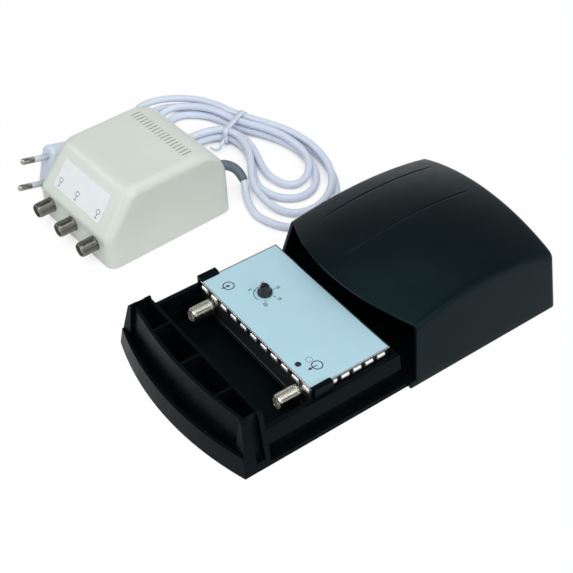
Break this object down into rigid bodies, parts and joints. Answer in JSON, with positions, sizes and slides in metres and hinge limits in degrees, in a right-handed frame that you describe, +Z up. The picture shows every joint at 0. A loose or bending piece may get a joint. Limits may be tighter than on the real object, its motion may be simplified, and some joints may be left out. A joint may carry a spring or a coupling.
{
  "type": "tv signal amplifier",
  "caption": "Mast TV amplifier: black box with its cover slid back, tinplate F-socket module, cream mains supply with tied lead and two-pin plug.",
  "frame": {"origin": "on the underside of the box tray, below the middle of the module", "axes": "+X across the box to the output socket, +Y the way the cover slides off, +Z up"},
  "size_m": [0.3027, 0.2267, 0.0517],
  "materials": {
    "black_plastic": "satin moulded black",
    "tinplate": "bright tinned sheet",
    "label_film": "printed pale blue film",
    "nickel": "nickel plate",
    "white_insulator": "moulded",
    "contact_brass": "plated",
    "board": "solder mask",
    "copper_wire": "enamelled",
    "black_parts": "moulded",
    "ceramic": "dipped",
    "ferrite": "sintered",
    "blue_parts": "moulded",
    "core_steel": "laminated",
    "cream_plastic": "fine texture",
    "white_label": "coated paper",
    "steel": "zinc plate",
    "white_pvc": "soft PVC",
    "grey_pvc": "soft PVC",
    "white_nylon": "moulded"
  },
  "bodies": {
    "base": {"base_tray": "black_plastic", "module_frame": "tinplate", "module_lid": "tinplate", "module_bottom": "tinplate", "lid_label": "label_film", "input_socket": "nickel", "output_socket": "nickel", "supply_socket_1": "nickel", "supply_socket_2": "nickel", "supply_socket_3": "nickel", "supply_nuts": "nickel", "socket_insulators": "white_insulator", "supply_insulators": "white_insulator", "pin_sleeves": "white_insulator", "socket_contacts": "contact_brass", "supply_contacts": "contact_brass", "module_board": "board", "supply_board": "board", "rf_coils": "copper_wire", "transformer_winding": "copper_wire", "rf_transistors": "black_parts", "rectifier_diodes": "black_parts", "regulator": "black_parts", "transformer_bobbin": "black_parts", "test_plug": "black_parts", "rf_capacitors": "ceramic", "output_splitter": "ferrite", "attenuator_body": "blue_parts", "smoothing_capacitor": "blue_parts", "transformer_core": "core_steel", "supply_shell": "cream_plastic", "supply_base": "cream_plastic", "supply_label": "white_label", "supply_screws": "steel", "thermal_fuse": "steel", "plug_pins": "steel", "lead_exit": "white_pvc", "lead_hank": "white_pvc", "lead_tail": "white_pvc", "plug_body": "white_pvc", "strain_relief": "grey_pvc", "lead_tie": "white_nylon"},
    "cover": {"cover": "black_plastic"},
    "knob": {"attenuator_knob": "black_parts"}
  },
  "joints": [
    {"name": "cover_slide", "type": "slide", "parent": "base", "child": "cover", "axis": [0, 1, 0], "range_m": [-0.1105, 0.03]},
    {"name": "attenuator_turn", "type": "hinge", "parent": "base", "child": "knob", "pos_m": [-0.0214, -0.003, 0.0266], "axis": [0, 0, 1], "range_deg": [-135, 135]}
  ]
}
